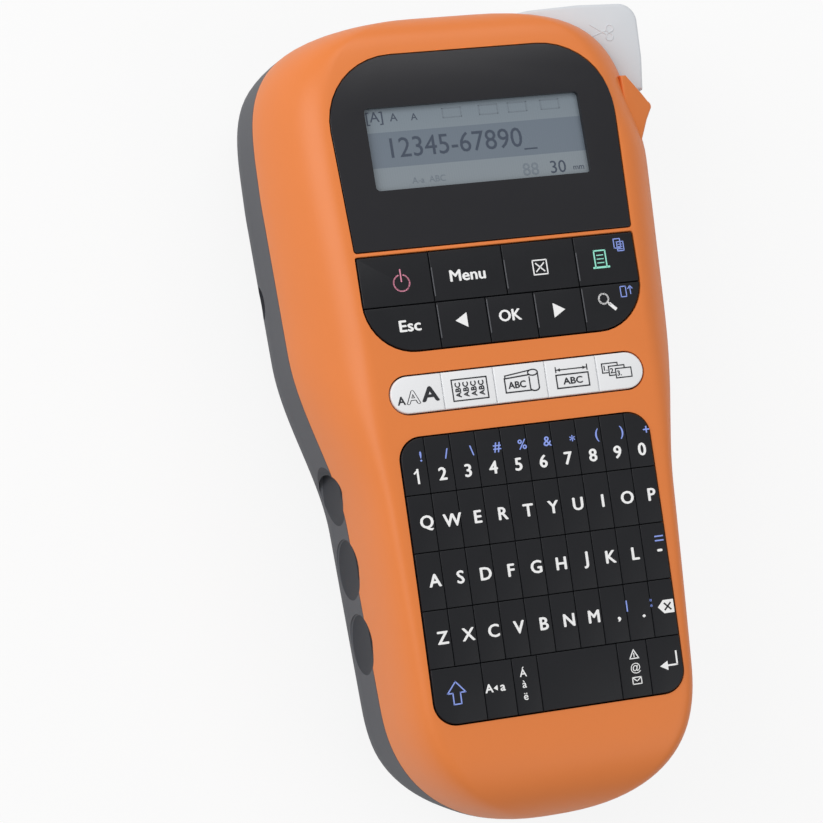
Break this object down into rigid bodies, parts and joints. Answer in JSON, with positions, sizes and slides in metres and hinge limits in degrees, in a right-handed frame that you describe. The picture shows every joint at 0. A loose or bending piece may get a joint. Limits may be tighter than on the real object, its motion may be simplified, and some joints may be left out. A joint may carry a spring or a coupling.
{
  "type": "label maker",
  "caption": "Handheld label maker with a keyboard, a display, a side label exit with a cutter lever, and a lift-off back cover over tape and cells.",
  "frame": {"origin": "middle of the flat back that it rests on, about halfway along its length", "axes": "+Z out of the keyboard face, +Y along the length towards the display and cutter end, +X to the right seen from the face"},
  "size_m": [0.1074, 0.2094, 0.0595],
  "materials": {
    "shell_orange": "satin",
    "shell_grey": "fine texture",
    "panel_black": "gloss",
    "key_black": "satin",
    "key_white": "satin",
    "lever_white": "satin",
    "lcd_glass": "gloss",
    "flex": "satin",
    "mat_rubber": "matte",
    "board_green": "satin",
    "parts_black": "satin",
    "frame_plastic": "satin",
    "gear_plastic": "satin",
    "steel": "brushed",
    "aluminium": "satin",
    "brass": "satin",
    "roller_rubber": "matte",
    "ceramic_white": "satin",
    "cassette_grey": "satin",
    "tape_white": "satin",
    "cell_skin": "satin",
    "guide_orange": "satin"
  },
  "bodies": {
    "casing": {"front_shell": "shell_orange", "rear_shell": "shell_grey", "display_panel": "panel_black", "lcd_module": "lcd_glass", "lcd_ribbon": "flex", "key_mat": "mat_rubber", "main_board": "board_green", "board_parts": "parts_black", "chassis": "frame_plastic", "battery_tray": "frame_plastic", "gear_plate": "steel", "motor": "steel", "idler_pin": "steel", "print_head": "ceramic_white", "head_heatsink": "aluminium", "lever_pin": "steel", "lever_spring": "steel", "cutter_anvil": "ceramic_white", "exit_guide": "guide_orange", "battery_cells": "cell_skin", "battery_contacts": "steel", "dc_jack": "parts_black", "case_screws": "steel"},
    "lever": {"cutter_lever": "lever_white", "cutter_blade": "steel"},
    "cover": {"back_cover": "shell_grey"},
    "cassette": {"tape_cassette": "cassette_grey", "label_tape": "tape_white"},
    "spool": {"tape_spool": "tape_white"},
    "platen": {"platen_gear": "gear_plastic", "platen_shaft": "steel", "platen_roller": "roller_rubber"},
    "idler": {"idler_gear": "gear_plastic"},
    "pinion": {"motor_pinion": "brass"},
    "takeup": {"takeup_spindle": "gear_plastic"},
    "key_power": {"key_power": "key_black"},
    "key_menu": {"key_menu": "key_black"},
    "key_clear": {"key_clear": "key_black"},
    "key_print": {"key_print": "key_black"},
    "key_escape": {"key_escape": "key_black"},
    "key_left": {"key_left": "key_black"},
    "key_ok": {"key_ok": "key_black"},
    "key_right": {"key_right": "key_black"},
    "key_preview": {"key_preview": "key_black"},
    "label_key_size": {"label_key_size": "key_white"},
    "label_key_style": {"label_key_style": "key_white"},
    "label_key_frame": {"label_key_frame": "key_white"},
    "label_key_length": {"label_key_length": "key_white"},
    "label_key_number": {"label_key_number": "key_white"},
    "keys_digits": {"keys_digits": "key_black"},
    "keys_upper_row": {"keys_upper_row": "key_black"},
    "keys_home_row": {"keys_home_row": "key_black"},
    "keys_lower_row": {"keys_lower_row": "key_black"},
    "key_shift": {"key_shift": "key_black"},
    "key_caps": {"key_caps": "key_black"},
    "key_accent": {"key_accent": "key_black"},
    "key_space": {"key_space": "key_black"},
    "key_symbol": {"key_symbol": "key_black"},
    "key_enter": {"key_enter": "key_black"}
  },
  "joints": [
    {"name": "key_power_press", "type": "slide", "parent": "casing", "child": "key_power", "axis": [0, 0, -1], "range_m": [0, 0.0008], "stiffness_N_per_m": 500, "springref_m": -0.0006},
    {"name": "key_menu_press", "type": "slide", "parent": "casing", "child": "key_menu", "axis": [0, 0, -1], "range_m": [0, 0.0008], "stiffness_N_per_m": 500, "springref_m": -0.0006},
    {"name": "key_clear_press", "type": "slide", "parent": "casing", "child": "key_clear", "axis": [0, 0, -1], "range_m": [0, 0.0008], "stiffness_N_per_m": 500, "springref_m": -0.0006},
    {"name": "key_print_press", "type": "slide", "parent": "casing", "child": "key_print", "axis": [0, 0, -1], "range_m": [0, 0.0008], "stiffness_N_per_m": 500, "springref_m": -0.0006},
    {"name": "key_escape_press", "type": "slide", "parent": "casing", "child": "key_escape", "axis": [0, 0, -1], "range_m": [0, 0.0008], "stiffness_N_per_m": 500, "springref_m": -0.0006},
    {"name": "key_left_press", "type": "slide", "parent": "casing", "child": "key_left", "axis": [0, 0, -1], "range_m": [0, 0.0008], "stiffness_N_per_m": 500, "springref_m": -0.0006},
    {"name": "key_ok_press", "type": "slide", "parent": "casing", "child": "key_ok", "axis": [0, 0, -1], "range_m": [0, 0.0008], "stiffness_N_per_m": 500, "springref_m": -0.0006},
    {"name": "key_right_press", "type": "slide", "parent": "casing", "child": "key_right", "axis": [0, 0, -1], "range_m": [0, 0.0008], "stiffness_N_per_m": 500, "springref_m": -0.0006},
    {"name": "key_preview_press", "type": "slide", "parent": "casing", "child": "key_preview", "axis": [0, 0, -1], "range_m": [0, 0.0008], "stiffness_N_per_m": 500, "springref_m": -0.0006},
    {"name": "label_key_size_press", "type": "slide", "parent": "casing", "child": "label_key_size", "axis": [0, 0, -1], "range_m": [0, 0.0008], "stiffness_N_per_m": 500, "springref_m": -0.0006},
    {"name": "label_key_style_press", "type": "slide", "parent": "casing", "child": "label_key_style", "axis": [0, 0, -1], "range_m": [0, 0.0008], "stiffness_N_per_m": 500, "springref_m": -0.0006},
    {"name": "label_key_frame_press", "type": "slide", "parent": "casing", "child": "label_key_frame", "axis": [0, 0, -1], "range_m": [0, 0.0008], "stiffness_N_per_m": 500, "springref_m": -0.0006},
    {"name": "label_key_length_press", "type": "slide", "parent": "casing", "child": "label_key_length", "axis": [0, 0, -1], "range_m": [0, 0.0008], "stiffness_N_per_m": 500, "springref_m": -0.0006},
    {"name": "label_key_number_press", "type": "slide", "parent": "casing", "child": "label_key_number", "axis": [0, 0, -1], "range_m": [0, 0.0008], "stiffness_N_per_m": 500, "springref_m": -0.0006},
    {"name": "keys_digits_press", "type": "slide", "parent": "casing", "child": "keys_digits", "axis": [0, 0, -1], "range_m": [0, 0.0008], "stiffness_N_per_m": 500, "springref_m": -0.0006},
    {"name": "keys_upper_row_press", "type": "slide", "parent": "casing", "child": "keys_upper_row", "axis": [0, 0, -1], "range_m": [0, 0.0008], "stiffness_N_per_m": 500, "springref_m": -0.0006},
    {"name": "keys_home_row_press", "type": "slide", "parent": "casing", "child": "keys_home_row", "axis": [0, 0, -1], "range_m": [0, 0.0008], "stiffness_N_per_m": 500, "springref_m": -0.0006},
    {"name": "keys_lower_row_press", "type": "slide", "parent": "casing", "child": "keys_lower_row", "axis": [0, 0, -1], "range_m": [0, 0.0008], "stiffness_N_per_m": 500, "springref_m": -0.0006},
    {"name": "key_shift_press", "type": "slide", "parent": "casing", "child": "key_shift", "axis": [0, 0, -1], "range_m": [0, 0.0008], "stiffness_N_per_m": 500, "springref_m": -0.0006},
    {"name": "key_caps_press", "type": "slide", "parent": "casing", "child": "key_caps", "axis": [0, 0, -1], "range_m": [0, 0.0008], "stiffness_N_per_m": 500, "springref_m": -0.0006},
    {"name": "key_accent_press", "type": "slide", "parent": "casing", "child": "key_accent", "axis": [0, 0, -1], "range_m": [0, 0.0008], "stiffness_N_per_m": 500, "springref_m": -0.0006},
    {"name": "key_space_press", "type": "slide", "parent": "casing", "child": "key_space", "axis": [0, 0, -1], "range_m": [0, 0.0008], "stiffness_N_per_m": 500, "springref_m": -0.0006},
    {"name": "key_symbol_press", "type": "slide", "parent": "casing", "child": "key_symbol", "axis": [0, 0, -1], "range_m": [0, 0.0008], "stiffness_N_per_m": 500, "springref_m": -0.0006},
    {"name": "key_enter_press", "type": "slide", "parent": "casing", "child": "key_enter", "axis": [0, 0, -1], "range_m": [0, 0.0008], "stiffness_N_per_m": 500, "springref_m": -0.0006},
    {"name": "lever_press", "type": "hinge", "parent": "casing", "child": "lever", "pos_m": [-0.015, 0.095, 0.03], "axis": [0, 0, -1], "range_deg": [0, 4.2], "stiffness_Nm_per_rad": 2, "springref_deg": -5.73},
    {"name": "cover_lift", "type": "slide", "parent": "casing", "child": "cover", "axis": [0, 0, -1], "range_m": [0, 0.03]},
    {"name": "cassette_lift", "type": "slide", "parent": "casing", "child": "cassette", "axis": [0, 0, -1], "range_m": [0, 0.015]},
    {"name": "platen_spin", "type": "hinge", "parent": "casing", "child": "platen", "pos_m": [0.03, 0.0826, 0.0116], "axis": [0, 0, 1], "continuous": true},
    {"name": "idler_spin", "type": "hinge", "parent": "casing", "child": "idler", "pos_m": [0.01196, 0.07176, 0.0297], "axis": [0, 0, 1], "continuous": true},
    {"name": "pinion_spin", "type": "hinge", "parent": "casing", "child": "pinion", "pos_m": [0.01488, 0.05516, 0.0297], "axis": [0, 0, 1], "continuous": true},
    {"name": "takeup_spin", "type": "hinge", "parent": "casing", "child": "takeup", "pos_m": [-0.00839, 0.07176, 0.0297], "axis": [0, 0, 1], "continuous": true},
    {"name": "spool_spin", "type": "hinge", "parent": "cassette", "child": "spool", "pos_m": [-0.02, 0.052, 0.0116], "axis": [0, 0, 1], "continuous": true}
  ],
  "couplings": [
    {"joint": "idler_spin", "follows": "platen_spin", "ratio": -0.66667},
    {"joint": "pinion_spin", "follows": "platen_spin", "ratio": 2},
    {"joint": "takeup_spin", "follows": "platen_spin", "ratio": 1.0909},
    {"joint": "spool_spin", "follows": "platen_spin", "ratio": -0.3},
    {"joint": "cassette_lift", "follows": "cover_lift", "ratio": 0.5}
  ]
}
